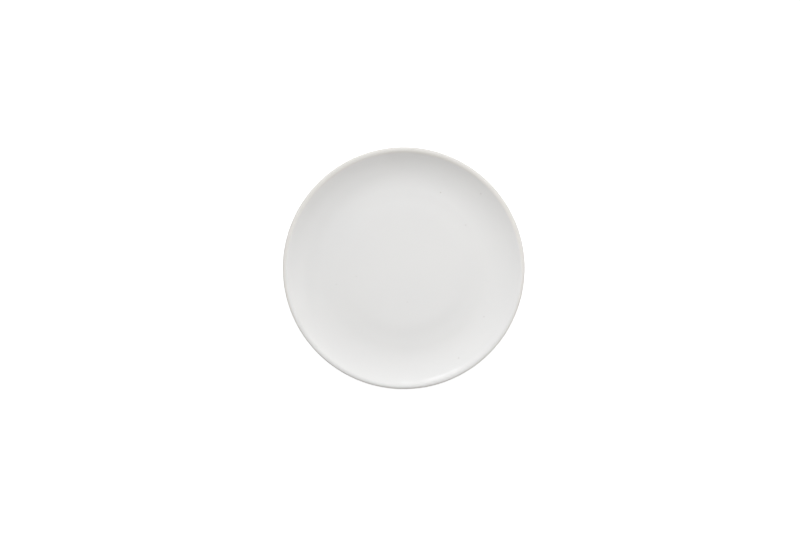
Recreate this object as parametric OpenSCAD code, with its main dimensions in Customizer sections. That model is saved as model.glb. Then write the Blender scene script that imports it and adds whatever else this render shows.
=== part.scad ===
// Coupe dinner plate: a porcelain body with a foot ring, glazed all over except on its standing edge.
// The plate is round about the Z axis. The foot stands on z = 0 and the face looks up.

/* [Plate] */
// Diameter over the glaze, across the lip
plate_d = 270; // [240:1:320]
// Height from the table to the crest of the lip
plate_h = 25; // [21:0.5:32]
// Thickness at the lowest ring of the face, both glaze coats included
wall_t = 5; // [4:0.1:6.5]

/* [Face] */
// Diameter of the flat middle of the face
plateau_d = 122; // [90:1:140]
// Width of the ring round the flat middle, over which the face starts to fall
shoulder_w = 12; // [6:0.5:16]
// Width of the next ring, over which the face levels out again
trough_w = 10; // [6:0.5:16]
// Width of the lowest ring of the face, level up to where the wall starts to rise
floor_w = 7.5; // [2:0.5:12]
// How far the flat middle stands above the lowest ring of the face
crown = 0.9; // [0.3:0.1:1.4]
// Length of the straight stretch of the wall below the lip, as a part of the tangent to its curve
straight_part = 0.05; // [0:0.05:0.5]

/* [Lip] */
// Radius of the lip from its crest round to the back
lip_out_r = 2.7; // [2:0.1:3.4]
// Radius of the lip from the wall up to its crest
lip_in_r = 4.5; // [3:0.1:7]

/* [Foot] */
// Diameter of the foot ring, at the middle of its standing edge
foot_d = 146; // [120:1:152]
// Width of the flat standing edge
foot_w = 3; // [2:0.1:5]
// Height of the back above the table, just outside the foot ring
foot_h = 3; // [2.6:0.1:4.5]
// Width of the level stretch of the back, from the foot ring to where the back starts to rise
land_w = 11; // [4:0.5:14]
// Height of the recess inside the foot ring above the table
recess_h = 3.2; // [2.6:0.1:4.5]
// Slope of the sides of the foot ring from upright, in degrees
foot_draft = 12; // [4:1:20]
// Radius of the corners beside the standing edge
foot_edge_r = 0.8; // [0.4:0.1:0.9]
// Radius of the hollows where the foot ring meets the back and the recess
foot_fillet_r = 1.5; // [0.8:0.1:1.6]

/* [Glaze] */
// Thickness of the glaze
glaze_t = 0.3; // [0.15:0.05:0.4]
// Height above the table up to which the foot ring is bare
bare_h = 1; // [0.8:0.1:1.1]

/* [Hidden] */
$fn = 180;

bare_colour = "#DCD8D0";
glaze_colour = "#E3E3E1";

// Largest distance between an arc and the chords that stand for it
arc_error = 0.006;
// Points closer together than this are one point
same_point = 0.001;

// Which way a surface looks, in degrees from +X in the section
up = atan2(1, 0);
down = atan2(-1, 0);

// Heights and radii of the bare body, under the glaze
body_top = plate_h - glaze_t;
low_z = foot_h + wall_t - glaze_t;
mid_z = low_z + crown;
back_z = foot_h + glaze_t;
recess_z = recess_h + glaze_t;
lip_in = lip_in_r - glaze_t;
lip_out = lip_out_r - glaze_t;
plateau_r = plateau_d / 2;
trough_r = plateau_r + shoulder_w + trough_w;
well_r = trough_r + floor_w;
crest_r = plate_d / 2 - lip_out_r;

// The edge of the flat middle: it falls over the shoulder and levels out in the trough
dip_angle = 2 * atan(crown / (shoulder_w + trough_w));
shoulder_arc_r = shoulder_w / sin(dip_angle);
trough_arc_r = trough_w / sin(dip_angle);

// The wall: an arc, level at the lowest ring, then a straight stretch tangent to the inner side of the lip
reach = crest_r - well_r;
rise = body_top - low_z;
chord_angle = atan2(rise, reach);
wall_angle = chord_angle + asin(sin(chord_angle) / (1 + straight_part));
wall_tangent = rise / ((1 + straight_part) * sin(wall_angle));
wall_r = wall_tangent / tan(wall_angle / 2) - lip_in;

// The foot ring: the standing edge, its two corners and the hollows above them
outward = -foot_draft;
inward = foot_draft - 180;
edge_out = [foot_d / 2 + foot_w / 2, foot_edge_r];
edge_in = [foot_d / 2 - foot_w / 2, foot_edge_r];
fillet_out = [edge_out.x + side_run(back_z), back_z - foot_fillet_r];
fillet_in = [edge_in.x - side_run(recess_z), recess_z - foot_fillet_r];

// The back of the wall: one arc, level where the land ends and tangent to the outer side of the lip
land_r = fillet_out.x + land_w;
back_reach = crest_r - land_r;
back_rise = body_top - lip_out - back_z;
back_r = (back_reach ^ 2 + back_rise ^ 2 - lip_out ^ 2) / (2 * (back_rise - lip_out));
back_angle = asin(back_reach / (back_r - lip_out));

// The ends of the glaze on the sides of the foot ring, each rounded off over the glaze's thickness
bead_rise = bare_h + glaze_t * cos(foot_draft) - foot_edge_r;
bead_run = foot_edge_r / cos(foot_draft) + bead_rise * tan(foot_draft);
bead_out = edge_out + [bead_run, bead_rise];
bead_in = edge_in + [-bead_run, bead_rise];

// Each arc is its centre, its radius and the ways its surface looks at its start and its end.
// A hollow arc has a negative radius, so growing every radius alike moves the whole surface outwards.
outer_arcs = [
    [[plateau_r, mid_z - shoulder_arc_r], shoulder_arc_r, up, up - dip_angle],
    [[trough_r, low_z + trough_arc_r], -trough_arc_r, up - dip_angle, up],
    [[well_r, low_z + wall_r], -wall_r, up, up + wall_angle],
    [[crest_r, body_top - lip_in], lip_in, up + wall_angle, up],
    [[crest_r, body_top - lip_out], lip_out, up, down + back_angle],
    [[land_r, back_z + back_r], back_r, down + back_angle, down],
    [fillet_out, -foot_fillet_r, down, outward],
];
outer_bead = [bead_out, 0, outward, outward + down];
foot_arcs = [
    [edge_out, foot_edge_r, outward, down],
    [edge_in, foot_edge_r, down, inward],
];
inner_bead = [bead_in, 0, inward - down, inward];
inner_arcs = [[fillet_in, -foot_fillet_r, inward, down]];

// The surfaces between body and glaze, and the outer surfaces of the two coats
body_outer = trace(outer_arcs, 0);
body_inner = trace(inner_arcs, 0);
skin_outer = trace(concat(outer_arcs, [outer_bead]), glaze_t);
skin_inner = trace(concat([inner_bead], inner_arcs), glaze_t);

body_outline = concat(
    [[0, mid_z]],
    body_outer,
    [skin_outer[len(skin_outer) - 1]],
    trace(foot_arcs, 0),
    [skin_inner[0]],
    body_inner,
    [[0, recess_z]]
);
outer_coat_outline = concat(
    [[0, mid_z + glaze_t]],
    skin_outer,
    reversed(body_outer),
    [[0, mid_z]]
);
base_coat_outline = concat(
    [[0, recess_z]],
    reversed(body_inner),
    skin_inner,
    [[0, recess_z - glaze_t]]
);

// How far out a hollow's centre lies from the centre of the foot's corner, for a tangent sloping side
function side_run(top_z) =
    let (climb = top_z - foot_fillet_r - foot_edge_r)
    (foot_edge_r + foot_fillet_r + climb * sin(foot_draft)) / cos(foot_draft);

// Points along one arc, grown outwards by a thickness
function arc_points(centre, radius, from, to, grow) =
    let (step = 2 * acos(1 - arc_error / max(abs(radius), glaze_t)))
    let (steps = ceil(abs(to - from) / step))
    [for (i = [0 : steps])
        let (angle = from + (to - from) * i / steps)
        centre + (radius + grow) * [cos(angle), sin(angle)]];

// Points along a chain of arcs, with straight lines wherever two arcs don't meet
function trace(arcs, grow) =
    distinct([for (arc = arcs) each arc_points(arc[0], arc[1], arc[2], arc[3], grow)]);

// The same points without the ones that repeat the point before them
function distinct(points) =
    [for (i = [0 : len(points) - 1])
        if (i == 0 || norm(points[i] - points[i - 1]) > same_point) points[i]];

// The same points from last to first
function reversed(points) = [for (i = [len(points) - 1 : -1 : 0]) points[i]];

// Fired porcelain, one piece with its foot ring
module porcelain_body() {
    color(bare_colour) rotate_extrude() polygon(body_outline);
}

// Glaze over the face, round the lip and down the back to the foot ring
module outer_glaze() {
    color(glaze_colour) rotate_extrude() polygon(outer_coat_outline);
}

// Glaze in the recess inside the foot ring
module base_glaze() {
    color(glaze_colour) rotate_extrude() polygon(base_coat_outline);
}

porcelain_body();
outer_glaze();
base_glaze();
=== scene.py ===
from math import acos, asin, atan, atan2, ceil, cos, dist, hypot, pi, radians, sin, tan

import bpy
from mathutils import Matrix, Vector


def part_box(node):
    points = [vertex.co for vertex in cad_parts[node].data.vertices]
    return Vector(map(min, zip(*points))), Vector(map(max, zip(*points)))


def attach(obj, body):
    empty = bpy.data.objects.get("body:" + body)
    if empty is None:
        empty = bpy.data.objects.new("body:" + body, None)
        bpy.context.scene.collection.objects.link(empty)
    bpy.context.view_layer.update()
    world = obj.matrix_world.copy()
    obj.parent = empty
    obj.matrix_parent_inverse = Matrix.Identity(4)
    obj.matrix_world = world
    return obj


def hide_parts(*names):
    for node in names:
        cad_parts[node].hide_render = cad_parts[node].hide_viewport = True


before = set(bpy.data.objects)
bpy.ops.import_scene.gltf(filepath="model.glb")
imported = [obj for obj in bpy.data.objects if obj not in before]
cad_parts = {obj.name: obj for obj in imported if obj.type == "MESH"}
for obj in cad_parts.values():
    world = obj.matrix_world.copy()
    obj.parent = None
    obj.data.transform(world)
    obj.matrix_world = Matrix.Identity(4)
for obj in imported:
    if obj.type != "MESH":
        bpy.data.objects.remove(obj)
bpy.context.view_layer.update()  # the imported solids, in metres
scene = bpy.context.scene
mm = 0.001
print("frame loaded:", ", ".join(sorted(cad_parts)))


class Wire:
    # a node tree, or one socket in it that can be calculated with: each operator adds a Math node
    def __init__(self, tree, socket=None):
        self.tree = tree
        self.socket = socket

    def node(self, kind, settings=None, inputs=None, output=0):
        made = self.tree.nodes.new(kind)
        for name, value in (settings or {}).items():
            setattr(made, name, value)
        for key, value in (inputs or {}).items():
            if isinstance(value, Wire):
                self.tree.links.new(value.socket, made.inputs[key])
            else:
                made.inputs[key].default_value = value
        return Wire(self.tree, made.outputs[output] if made.outputs else None)

    def out(self, name):  # another output of the same node
        return Wire(self.tree, self.socket.node.outputs[name])

    def calc(self, operation, *values):
        return self.node("ShaderNodeMath", {"operation": operation}, dict(enumerate(values)))

    def __add__(self, other):
        return self.calc("ADD", self, other)

    def __radd__(self, other):
        return self.calc("ADD", other, self)

    def __sub__(self, other):
        return self.calc("SUBTRACT", self, other)

    def __rsub__(self, other):
        return self.calc("SUBTRACT", other, self)

    def __mul__(self, other):
        return self.calc("MULTIPLY", self, other)

    def __rmul__(self, other):
        return self.calc("MULTIPLY", other, self)

    def __truediv__(self, other):
        return self.calc("DIVIDE", self, other)

    def __rtruediv__(self, other):
        return self.calc("DIVIDE", other, self)

    def __gt__(self, other):
        return self.calc("GREATER_THAN", self, other)

    def __lt__(self, other):
        return self.calc("LESS_THAN", self, other)

    def ramp(self, start, end):  # a smooth step from 0 at start to 1 at end
        bounds = {"Value": self, "From Min": start, "From Max": end}
        return self.node("ShaderNodeMapRange", {"interpolation_type": "SMOOTHSTEP"}, bounds)

    def blend(self, first, second, mode="MIX"):  # colours, mixed by this value
        settings = {"data_type": "RGBA", "blend_type": mode}
        return self.node("ShaderNodeMix", settings, {0: self, 6: first, 7: second}, 2)

    def noise(self, spot, scale, detail):
        return self.node("ShaderNodeTexNoise", {}, {"Vector": spot, "Scale": scale, "Detail": detail})


# the turned section, in mm; the diameter and the height are the frame's
lowCorner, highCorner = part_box("outer_glaze")
plateForm = {
    "diameter": (highCorner.x - lowCorner.x) / mm,
    "height": highCorner.z / mm,
    "wallThickness": 5.0,   # at the lowest ring of the face, glaze included
    "middleDiameter": 122.0,   # flat middle of the face
    "shoulderWidth": 12.0,   # the ring where the face starts to fall
    "troughWidth": 10.0,   # the ring where it levels out again
    "floorWidth": 7.5,   # the lowest ring, level up to the wall
    "crown": 0.9,   # rise of the middle over the lowest ring
    "straightPart": 0.05,   # straight stretch of the wall, as a part of its tangent
    "lipOuterRadius": 2.7,
    "lipInnerRadius": 4.5,
    "footDiameter": 146.0,
    "footWidth": 3.0,
    "footHeight": 3.0,
    "landWidth": 11.0,   # level stretch of the back outside the foot
    "recessHeight": 3.2,
    "footDraft": radians(12),
    "footEdgeRadius": 0.8,
    "footFilletRadius": 1.5,
    "glaze": 0.3,
    "bareHeight": 1.0,   # the foot is bare up to here
    "arcError": 0.003,   # of the chords that stand for an arc
    "hiddenArcError": 0.02,   # the same, under the glaze
    "samePoint": 1e-6,   # points closer than this are one
}


# the arcs of the body's section: centre, radius (negative where hollow), and the ways that
# the surface looks at the start and at the end
def sectionArcs(form):
    up, down = pi / 2, -pi / 2
    glaze = form["glaze"]
    top = form["height"] - glaze
    low = form["footHeight"] + form["wallThickness"] - glaze
    middle = low + form["crown"]
    back = form["footHeight"] + glaze
    recess = form["recessHeight"] + glaze
    lipIn = form["lipInnerRadius"] - glaze
    lipOut = form["lipOuterRadius"] - glaze
    crest = form["diameter"] / 2 - form["lipOuterRadius"]

    middleEdge = form["middleDiameter"] / 2
    fallWidth = form["shoulderWidth"] + form["troughWidth"]
    dip = 2 * atan(form["crown"] / fallWidth)
    shoulder, trough = form["shoulderWidth"] / sin(dip), form["troughWidth"] / sin(dip)
    troughEdge = middleEdge + fallWidth

    wallStart = troughEdge + form["floorWidth"]
    rise = top - low
    chord = atan2(rise, crest - wallStart)
    slope = chord + asin(sin(chord) / (1 + form["straightPart"]))
    tangent = rise / ((1 + form["straightPart"]) * sin(slope))
    wall = tangent / tan(slope / 2) - lipIn

    draft, edge, fillet = form["footDraft"], form["footEdgeRadius"], form["footFilletRadius"]
    outward, inward = -draft, draft - pi
    edgeOut = form["footDiameter"] / 2 + form["footWidth"] / 2
    edgeIn = form["footDiameter"] / 2 - form["footWidth"] / 2

    def sideRun(level):  # from a corner of the foot to the hollow above it
        return (edge + fillet + (level - fillet - edge) * sin(draft)) / cos(draft)

    filletOut, filletIn = edgeOut + sideRun(back), edgeIn - sideRun(recess)
    land = filletOut + form["landWidth"]
    backReach, backRise = crest - land, top - lipOut - back
    belly = (backReach ** 2 + backRise ** 2 - lipOut ** 2) / (2 * (backRise - lipOut))
    backSlope = asin(backReach / (belly - lipOut))

    beadRise = form["bareHeight"] + glaze * cos(draft)
    beadRun = edge / cos(draft) + (beadRise - edge) * tan(draft)
    return {
        "middle": middle,
        "recess": recess,
        "outer": [
            ((middleEdge, middle - shoulder), shoulder, up, up - dip),
            ((troughEdge, low + trough), -trough, up - dip, up),
            ((wallStart, low + wall), -wall, up, up + slope),
            ((crest, top - lipIn), lipIn, up + slope, up),
            ((crest, top - lipOut), lipOut, up, down + backSlope),
            ((land, back + belly), belly, down + backSlope, down),
            ((filletOut, back - fillet), -fillet, down, outward),
        ],
        "outerBead": ((edgeOut + beadRun, beadRise), 0, outward, outward + down),
        "foot": [
            ((edgeOut, edge), edge, outward, down),
            ((edgeIn, edge), edge, down, inward),
        ],
        "innerBead": ((edgeIn - beadRun, beadRise), 0, inward - down, inward),
        "inner": [((filletIn, recess - fillet), -fillet, inward, down)],
    }


def trace(arcs, grow, error):  # points along a chain of arcs, moved outwards by a thickness
    points = []
    for (x, z), radius, start, end in arcs:
        reach = radius + grow
        steps = ceil(abs(end - start) / (2 * acos(1 - error / max(abs(reach), error))))
        for step in range(steps + 1):
            angle = start + (end - start) * step / steps
            point = (x + reach * cos(angle), z + reach * sin(angle))
            if not points or dist(point, points[-1]) > plateForm["samePoint"]:
                points.append(point)
    return points


arcs = sectionArcs(plateForm)
glaze, fine, coarse = plateForm["glaze"], plateForm["arcError"], plateForm["hiddenArcError"]
bodyOuter = trace(arcs["outer"], 0, coarse)
bodyInner = trace(arcs["inner"], 0, coarse)
skinOuter = trace(arcs["outer"], glaze, fine)
skinInner = trace(arcs["inner"], glaze, fine)
outerBead = trace([arcs["outerBead"]], glaze, coarse)
innerBead = trace([arcs["innerBead"]], glaze, coarse)
middle, recess = arcs["middle"], arcs["recess"]
print("section traced:", len(skinOuter), "points over the face, lip and back")


def faceHeight(radius):  # of the glazed face above the table, in mm
    inner, outer = (0, middle + glaze), skinOuter[0]
    for outer in skinOuter:
        if outer[0] >= radius:
            break
        inner = outer
    return inner[1] + (outer[1] - inner[1]) * (radius - inner[0]) / (outer[0] - inner[0])


# turns a section round the Z axis; points with a slide vector let the glaze line wander
def turningTree():
    tree = bpy.data.node_groups.new("turnedSection", "GeometryNodeTree")
    sockets = [
        ("Section", "Geometry", "INPUT"),
        ("Segments", "Int", "INPUT"),
        ("Wander", "Float", "INPUT"),
        ("Waves", "Float", "INPUT"),
        ("Seed", "Float", "INPUT"),
        ("Weld", "Float", "INPUT"),
        ("Crease", "Float", "INPUT"),
        ("Finish", "Material", "INPUT"),
        ("Turned", "Geometry", "OUTPUT"),
    ]
    for name, kind, way in sockets:
        tree.interface.new_socket(name, in_out=way, socket_type="NodeSocket" + kind)
    wires = Wire(tree)
    given = wires.node("NodeGroupInput")
    section, segments = given.out("Section"), given.out("Segments")
    points = wires.node("GeometryNodeAttributeDomainSize", {}, {"Geometry": section})
    rows = segments + 1
    grid = wires.node("GeometryNodeMeshGrid", {}, {"Vertices X": points, "Vertices Y": rows})
    index = wires.node("GeometryNodeInputIndex")
    column = wires.calc("FLOOR", index / rows)
    angle = (index - column * rows) * (2 * pi) / segments
    across, along = wires.calc("COSINE", angle), wires.calc("SINE", angle)

    def atColumn(value):
        inputs = {"Geometry": section, "Value": value, "Index": column}
        return wires.node("GeometryNodeSampleIndex", {"data_type": "FLOAT_VECTOR"}, inputs)

    spot = atColumn(wires.node("GeometryNodeInputPosition"))
    slideKind = {"data_type": "FLOAT_VECTOR"}
    slide = atColumn(wires.node("GeometryNodeInputNamedAttribute", slideKind, {"Name": "slide"}))
    waves = given.out("Waves")
    circle = {"X": across * waves, "Y": along * waves, "Z": given.out("Seed")}
    circle = wires.node("ShaderNodeCombineXYZ", {}, circle)
    noise = wires.node("ShaderNodeTexNoise", {}, {"Vector": circle})
    shift = (noise - 0.5) * 2 * given.out("Wander")   # noise runs from 0 to 1
    slid = wires.node("ShaderNodeVectorMath", {"operation": "SCALE"}, {0: slide, "Scale": shift})
    spot = wires.node("ShaderNodeVectorMath", {"operation": "ADD"}, {0: spot, 1: slid})
    parts = wires.node("ShaderNodeSeparateXYZ", {}, {0: spot})
    turned = {"X": parts * across, "Y": parts * along, "Z": parts.out("Z")}
    place = {"Geometry": grid, "Position": wires.node("ShaderNodeCombineXYZ", {}, turned)}
    placed = wires.node("GeometryNodeSetPosition", {}, place)
    weld = {"Geometry": placed, "Distance": given.out("Weld")}
    welded = wires.node("GeometryNodeMergeByDistance", {}, weld)
    smooth = wires.node("GeometryNodeSetShadeSmooth", {"domain": "FACE"}, {"Geometry": welded})
    sharp = wires.node("GeometryNodeInputMeshEdgeAngle") > given.out("Crease")
    crease = {"Geometry": smooth, "Selection": sharp, "Shade Smooth": False}
    creased = wires.node("GeometryNodeSetShadeSmooth", {"domain": "EDGE"}, crease)
    real = wires.node("GeometryNodeRealizeInstances", {}, {"Geometry": creased})
    finish = {"Geometry": real, "Material": given.out("Finish")}
    wires.node("NodeGroupOutput", {}, {"Turned": wires.node("GeometryNodeSetMaterial", {}, finish)})
    return tree


turning = turningTree()
turningSettings = {"Segments": 240, "Weld": 1e-6, "Crease": radians(35)}


# a piece from its outline in mm; the points of each bead slide up and down the side of the foot
def turnPiece(name, outline, beads, settings, finish):
    mesh = bpy.data.meshes.new(name + "Section")
    edges = [(i, i + 1) for i in range(len(outline) - 1)]
    mesh.from_pydata([(r * mm, 0, z * mm) for r, z in outline], edges, [])
    slide = mesh.attributes.new("slide", "FLOAT_VECTOR", "POINT")
    draft = plateForm["footDraft"]
    for way, bead in beads:
        for point in bead:
            slide.data[outline.index(point)].vector = (way * sin(draft), 0, cos(draft))
    piece = bpy.data.objects.new(name, mesh)
    scene.collection.objects.link(piece)
    modifier = piece.modifiers.new("turned", "NODES")
    modifier.node_group = turning
    values = {**turningSettings, **settings, "Finish": finish}
    for socket in turning.interface.items_tree:
        if socket.name in values:
            modifier[socket.identifier] = values[socket.name]
    graph = bpy.context.evaluated_depsgraph_get()
    turned = bpy.data.meshes.new_from_object(piece.evaluated_get(graph))
    piece.modifiers.remove(modifier)
    piece.data = turned
    turned.name = name
    bpy.data.meshes.remove(mesh)
    print("turned", name + ":", len(turned.polygons), "faces")
    return piece


def newMaterial(name):
    material = bpy.data.materials.new(name)
    material.use_nodes = True
    material.node_tree.nodes.clear()
    return material, Wire(material.node_tree)


# glossy white glaze
glazeLook = {
    "white": (0.808, 0.806, 0.796, 1),
    "cloud": (0.797, 0.796, 0.789, 1),   # a little darker where it lies thicker
    "cloudScale": 11.0,   # per metre
    "cloudDetail": 3.0,
    "cloudRange": (0.35, 0.7),   # of the noise, from no cloud to full cloud
    "thinLipAndBackLightTint": (1.0, 0.978, 0.945, 1),   # over the white, where the glaze runs thin on the lip, and painted warm light shining through the lip from the back
    "lipRing": (127.5, 130.0),   # mm from the axis: where the tint starts and is full, at the back
    "paintedBackLightLag": 5.0,   # mm that the tinted ring is narrower at the front; its wider band at the back is painted warm light from the back
    "roughness": 0.04,
    "smear": 0.03,   # more roughness where the clouds are
    "ior": 1.5,
    "peelScale": 230.0,   # ripples per metre
    "peelDetail": 1.0,
    "peelDepth": 0.0000012,   # in metres
    "dustScale": 130.0,   # cells per metre, a few of which hold a grain
    "dustShare": 0.06,
    "dustSize": 0.022,   # of a cell
    "dustColour": (0.50, 0.47, 0.42, 1),
    "specks": [   # x, y and size in mm, and colour
        (41.8, 85.4, 1.0, (0.31, 0.23, 0.17, 1)),
        (70.1, 48.6, 2.2, (0.72, 0.71, 0.70, 1)),
        (86.5, 83.3, 2.5, (0.71, 0.70, 0.69, 1)),
        (90.2, -54.7, 2.5, (0.72, 0.71, 0.70, 1)),
        (61.5, -100.8, 2.0, (0.66, 0.65, 0.64, 1)),
        (-76.1, -18.3, 1.0, (0.60, 0.59, 0.57, 1)),
        (-53.4, -9.2, 1.0, (0.54, 0.53, 0.51, 1)),
        (4.2, -38.1, 0.9, (0.52, 0.51, 0.49, 1)),
    ],
}


def glazeMaterial(look):
    material, wires = newMaterial("whiteGlaze")
    spot = wires.node("ShaderNodeTexCoord", output="Object")
    flat = wires.node("ShaderNodeVectorMath", {"operation": "MULTIPLY"}, {0: spot, 1: (1, 1, 0)})
    radius = wires.node("ShaderNodeVectorMath", {"operation": "LENGTH"}, {0: flat}, "Value")

    clouds = wires.noise(spot, look["cloudScale"], look["cloudDetail"]).ramp(*look["cloudRange"])
    colour = clouds.blend(look["white"], look["cloud"])
    start, full = look["lipRing"]
    # the lip tint reaches further in at the back than at the front: painted warm light from the back
    # shining through the thin lip
    front = 1 - wires.node("ShaderNodeSeparateXYZ", {}, {0: spot}, "Y").ramp(-full * mm, full * mm)
    lip = (radius - front * (look["paintedBackLightLag"] * mm)).ramp(start * mm, full * mm)
    colour = lip.blend(colour, look["thinLipAndBackLightTint"], "MULTIPLY")

    grains = {"Vector": spot, "Scale": look["dustScale"]}
    dust = wires.node("ShaderNodeTexVoronoi", {"feature": "F1"}, grains)
    pick = wires.node("ShaderNodeSeparateColor", {}, {0: dust.out("Color")})
    grain = (1 - dust.ramp(look["dustSize"] / 2, look["dustSize"])) * (pick < look["dustShare"])
    colour = grain.blend(colour, look["dustColour"])
    for x, y, size, tone in look["specks"]:
        ends = {0: spot, 1: (x * mm, y * mm, faceHeight(hypot(x, y)) * mm)}
        gap = wires.node("ShaderNodeVectorMath", {"operation": "DISTANCE"}, ends, "Value")
        reach = size * mm / 2   # it fades out over its outer half
        colour = (1 - gap.ramp(reach / 2, reach)).blend(colour, tone)

    peel = wires.noise(spot, look["peelScale"], look["peelDetail"])
    bump = {"Height": peel - grain, "Strength": 1.0, "Distance": look["peelDepth"]}
    shade = {
        "Base Color": colour,
        "Roughness": look["roughness"] + clouds * look["smear"],
        "Normal": wires.node("ShaderNodeBump", {}, bump),
        "IOR": look["ior"],
    }
    shader = wires.node("ShaderNodeBsdfPrincipled", {}, shade)
    wires.node("ShaderNodeOutputMaterial", {}, {"Surface": shader})
    return material


# bare fired porcelain, ground smooth where it stands
bareLook = {
    "clay": (0.72, 0.69, 0.63, 1),
    "grain": (0.64, 0.61, 0.55, 1),
    "grainScale": 2600.0,   # per metre
    "grainDetail": 2.0,
    "grainRange": (0.45, 0.75),   # of the noise, from clay to full grain
    "grainRoughness": 0.1,   # more roughness on the grains
    "grainDepth": 0.00002,   # in metres
    "toast": (0.66, 0.57, 0.46, 1),   # the warm line below the glaze
    "toastBand": (0.75, 1.15),   # mm above the table, from none to full
    "toastShare": 0.7,   # how much of its colour shows there
    "scuff": (0.42, 0.41, 0.39, 1),   # grey rubbed off on the standing edge
    "scuffBand": (0.02, 0.22),   # mm above the table, from full to none
    "scuffScale": 90.0,   # per metre
    "scuffDetail": 4.0,
    "scuffRange": (0.42, 0.66),   # of the noise, from clean to rubbed
    "scuffShare": 0.75,
    "roughness": 0.62,
    "polish": 0.18,   # less roughness where it is rubbed
}


def bareMaterial(look):
    material, wires = newMaterial("barePorcelain")
    spot = wires.node("ShaderNodeTexCoord", output="Object")
    height = wires.node("ShaderNodeSeparateXYZ", {}, {0: spot}, "Z") / mm
    grain = wires.noise(spot, look["grainScale"], look["grainDetail"])
    colour = grain.ramp(*look["grainRange"]).blend(look["clay"], look["grain"])
    toasted = height.ramp(*look["toastBand"]) * look["toastShare"]
    colour = toasted.blend(colour, look["toast"])
    patches = wires.noise(spot, look["scuffScale"], look["scuffDetail"]).ramp(*look["scuffRange"])
    rubbed = (1 - height.ramp(*look["scuffBand"])) * patches
    colour = (rubbed * look["scuffShare"]).blend(colour, look["scuff"])
    bump = {"Height": grain, "Strength": 1.0, "Distance": look["grainDepth"]}
    shade = {
        "Base Color": colour,
        "Roughness": look["roughness"] - rubbed * look["polish"] + grain * look["grainRoughness"],
        "Normal": wires.node("ShaderNodeBump", {}, bump),
    }
    shader = wires.node("ShaderNodeBsdfPrincipled", {}, shade)
    wires.node("ShaderNodeOutputMaterial", {}, {"Surface": shader})
    return material


whiteGlaze = glazeMaterial(glazeLook)
barePorcelain = bareMaterial(bareLook)
print("materials made:", whiteGlaze.name, barePorcelain.name)

outerCoat = {"Wander": 0.18 * mm, "Waves": 2.2, "Seed": 3.7}
outline = [(0, middle + glaze)] + skinOuter + outerBead + bodyOuter[::-1] + [(0, middle)]
outerGlaze = turnPiece("outerGlaze", outline, [(1, outerBead)], outerCoat, whiteGlaze)
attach(outerGlaze, "root")
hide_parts("outer_glaze")

baseCoat = {"Wander": 0.18 * mm, "Waves": 2.6, "Seed": 8.1}
outline = [(0, recess)] + bodyInner[::-1] + innerBead + skinInner + [(0, recess - glaze)]
baseGlaze = turnPiece("baseGlaze", outline, [(-1, innerBead)], baseCoat, whiteGlaze)
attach(baseGlaze, "root")
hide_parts("base_glaze")

body = {"Wander": 0.0}
outline = [(0, middle)] + bodyOuter + trace(arcs["foot"], 0, fine) + bodyInner + [(0, recess)]
porcelainBody = turnPiece("porcelainBody", outline, [], body, barePorcelain)
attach(porcelainBody, "root")
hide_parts("porcelain_body")
print("pieces ride on the frame")

# the studio: how bright the room is each way, a white floor, and soft lamps
studio = {
    # light from each wall of the room
    "lit": {"top": 0.54, "back": 0.67, "front": 0.05, "right": 0.2, "left": 0.31},
    "floorSize": 8.0,   # in metres
    "floorColour": (0.8, 0.8, 0.8, 1),
    "floorRoughness": 0.9,
    "floorGlow": 0.75,   # brings what is seen of it up to white
}
# azimuth in degrees from +X; distance from the axis, shift aside, heights and sizes in metres
lamps = [
    {"name": "overhead", "level": 4.1, "colour": (1.0, 0.96, 0.92), "lights": True, "mirrored": False,
     "azimuth": 20, "distance": 0.05, "height": 0.42, "aim": 0, "size": (0.2, 0.2)},
    {"name": "backKey", "level": 3.46, "colour": (0.93, 0.96, 1.0), "lights": True, "mirrored": False,
     "azimuth": 95, "distance": 1.5, "height": 1.5, "aim": 0, "size": (1.6, 1.0)},
    {"name": "leftFill", "level": 0.54, "lights": True, "mirrored": False,
     "azimuth": 180, "distance": 1.5, "height": 0.25, "aim": 0, "size": (1.4, 0.4)},
    {"name": "rightFill", "level": 5.5, "lights": True, "mirrored": False,
     "azimuth": 0, "distance": 1.5, "height": 0.08, "aim": 0, "size": (1.4, 0.12)},
    {"name": "sideWindow", "level": 0.5, "lights": False, "mirrored": True,
     "azimuth": 325, "distance": 1.2, "shift": 0.4, "height": 1.13, "aim": 1.13, "size": (3.2, 2.15)},
    {"name": "shortStrip", "level": 6.0, "lights": False, "mirrored": True,
     "azimuth": 91, "distance": 2.0, "height": 0.44, "aim": 0.44, "size": (0.19, 0.1)},
    {"name": "longStrip", "level": 6.0, "lights": False, "mirrored": True,
     "azimuth": 108.4, "distance": 2.0, "height": 0.45, "aim": 0.45, "size": (0.70, 0.1)},
]


def seenRays(wires):  # 1 for what the camera, gloss and glass see, 0 for the light itself
    path = wires.node("ShaderNodeLightPath", output="Is Camera Ray")
    gloss = wires.calc("MAXIMUM", path.out("Is Glossy Ray"), path.out("Is Transmission Ray"))
    return wires.calc("MAXIMUM", path, gloss)


def makeWorld(look):
    world = bpy.data.worlds.new("room")
    world.use_nodes = True
    world.node_tree.nodes.clear()
    wires = Wire(world.node_tree)
    way = wires.node("ShaderNodeTexCoord", output="Generated")
    axes = wires.node("ShaderNodeSeparateXYZ", {}, {0: way})
    levels, room = look["lit"], 0
    walls = [("X", "right", "left"), ("Y", "back", "front"), ("Z", "top", "top")]
    for axis, ahead, behind in walls:
        part = axes.out(axis)   # each wall counts by how far a way points to it
        facing = part > 0
        room = room + part * part * (facing * levels[ahead] + (1 - facing) * levels[behind])
    seen = seenRays(wires)   # a strength of 1 is white
    white = {"Color": (1, 1, 1, 1), "Strength": seen + (1 - seen) * room}
    shader = wires.node("ShaderNodeBackground", {}, white)
    wires.node("ShaderNodeOutputWorld", {}, {"Surface": shader})
    scene.world = world


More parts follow.
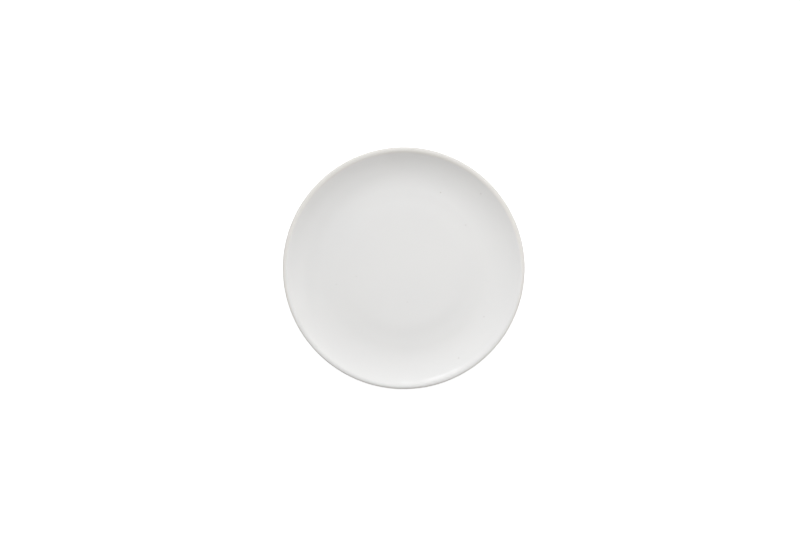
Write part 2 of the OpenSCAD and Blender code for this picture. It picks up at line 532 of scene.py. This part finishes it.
def makeFloor(look):
    half = look["floorSize"] / 2
    mesh = bpy.data.meshes.new("floor")
    corners = [(-half, -half, 0), (half, -half, 0), (half, half, 0), (-half, half, 0)]
    mesh.from_pydata(corners, [], [(0, 1, 2, 3)])
    floor = bpy.data.objects.new("floor", mesh)
    scene.collection.objects.link(floor)
    material, wires = newMaterial("paleFloor")
    shade = {
        "Base Color": look["floorColour"],
        "Roughness": look["floorRoughness"],
        "Specular IOR Level": 0.0,
    }
    matte = wires.node("ShaderNodeBsdfPrincipled", {}, shade)
    glow = wires.node("ShaderNodeEmission", {}, {"Strength": seenRays(wires) * look["floorGlow"]})
    both = wires.node("ShaderNodeAddShader", {}, {0: matte, 1: glow})
    wires.node("ShaderNodeOutputMaterial", {}, {"Surface": both})
    mesh.materials.append(material)


def makeLamp(look):
    lamp = bpy.data.lights.new(look["name"], "AREA")
    lamp.shape = "RECTANGLE"
    lamp.size, lamp.size_y = look["size"]
    lamp.color = look.get("colour", (1, 1, 1))
    lamp.energy = pi * lamp.size * lamp.size_y * look["level"]   # watts that make it this bright
    stand = bpy.data.objects.new(look["name"], lamp)
    scene.collection.objects.link(stand)
    azimuth = radians(look["azimuth"])
    out, aside = Vector((cos(azimuth), sin(azimuth), 0)), Vector((-sin(azimuth), cos(azimuth), 0))
    up, drop = Vector((0, 0, look["height"])), Vector((0, 0, look["height"] - look["aim"]))
    stand.location = out * look["distance"] + aside * look.get("shift", 0) + up
    stand.rotation_mode = "QUATERNION"
    stand.rotation_quaternion = (-drop - out * look["distance"]).to_track_quat("-Z", "Y")
    stand.visible_camera = False
    stand.visible_diffuse, stand.visible_glossy = look["lights"], look["mirrored"]


makeWorld(studio)
makeFloor(studio)
for lamp in lamps:
    makeLamp(lamp)
print("studio lit by the room and", len(lamps), "lamps")

# the camera, almost straight above, placed so that the lip fills the same circle of the picture
lens = {
    "focal": 50.0,
    "sensor": 36.0,
    "picture": (800, 534),
    "centre": (403.7, 267.7),   # the plate's middle in the picture
    "radius": 121.1,   # the plate's outline in the picture
    "elevation": radians(88),
}


def makeCamera(look):
    camera = bpy.data.cameras.new("camera")
    camera.lens, camera.sensor_width = look["focal"], look["sensor"]
    camera.dof.use_dof = False
    seat = bpy.data.objects.new("camera", camera)
    scene.collection.objects.link(seat)
    pixels = look["focal"] / look["sensor"] * look["picture"][0]   # one unit away, per unit across
    rim = plateForm["diameter"] / 2 * mm
    distance = pixels * rim / look["radius"]
    across = (look["picture"][0] / 2 - look["centre"][0]) * distance / pixels
    along = (look["centre"][1] - look["picture"][1] / 2) * distance / pixels
    aim = Vector((across, along, (plateForm["height"] - plateForm["lipOuterRadius"]) * mm))
    back = Vector((0, -cos(look["elevation"]), sin(look["elevation"])))
    seat.location = aim + back * distance
    seat.rotation_mode = "QUATERNION"
    seat.rotation_quaternion = (-back).to_track_quat("-Z", "Y")
    scene.camera = seat


makeCamera(lens)
scene.view_settings.view_transform = "Standard"
print("camera set")
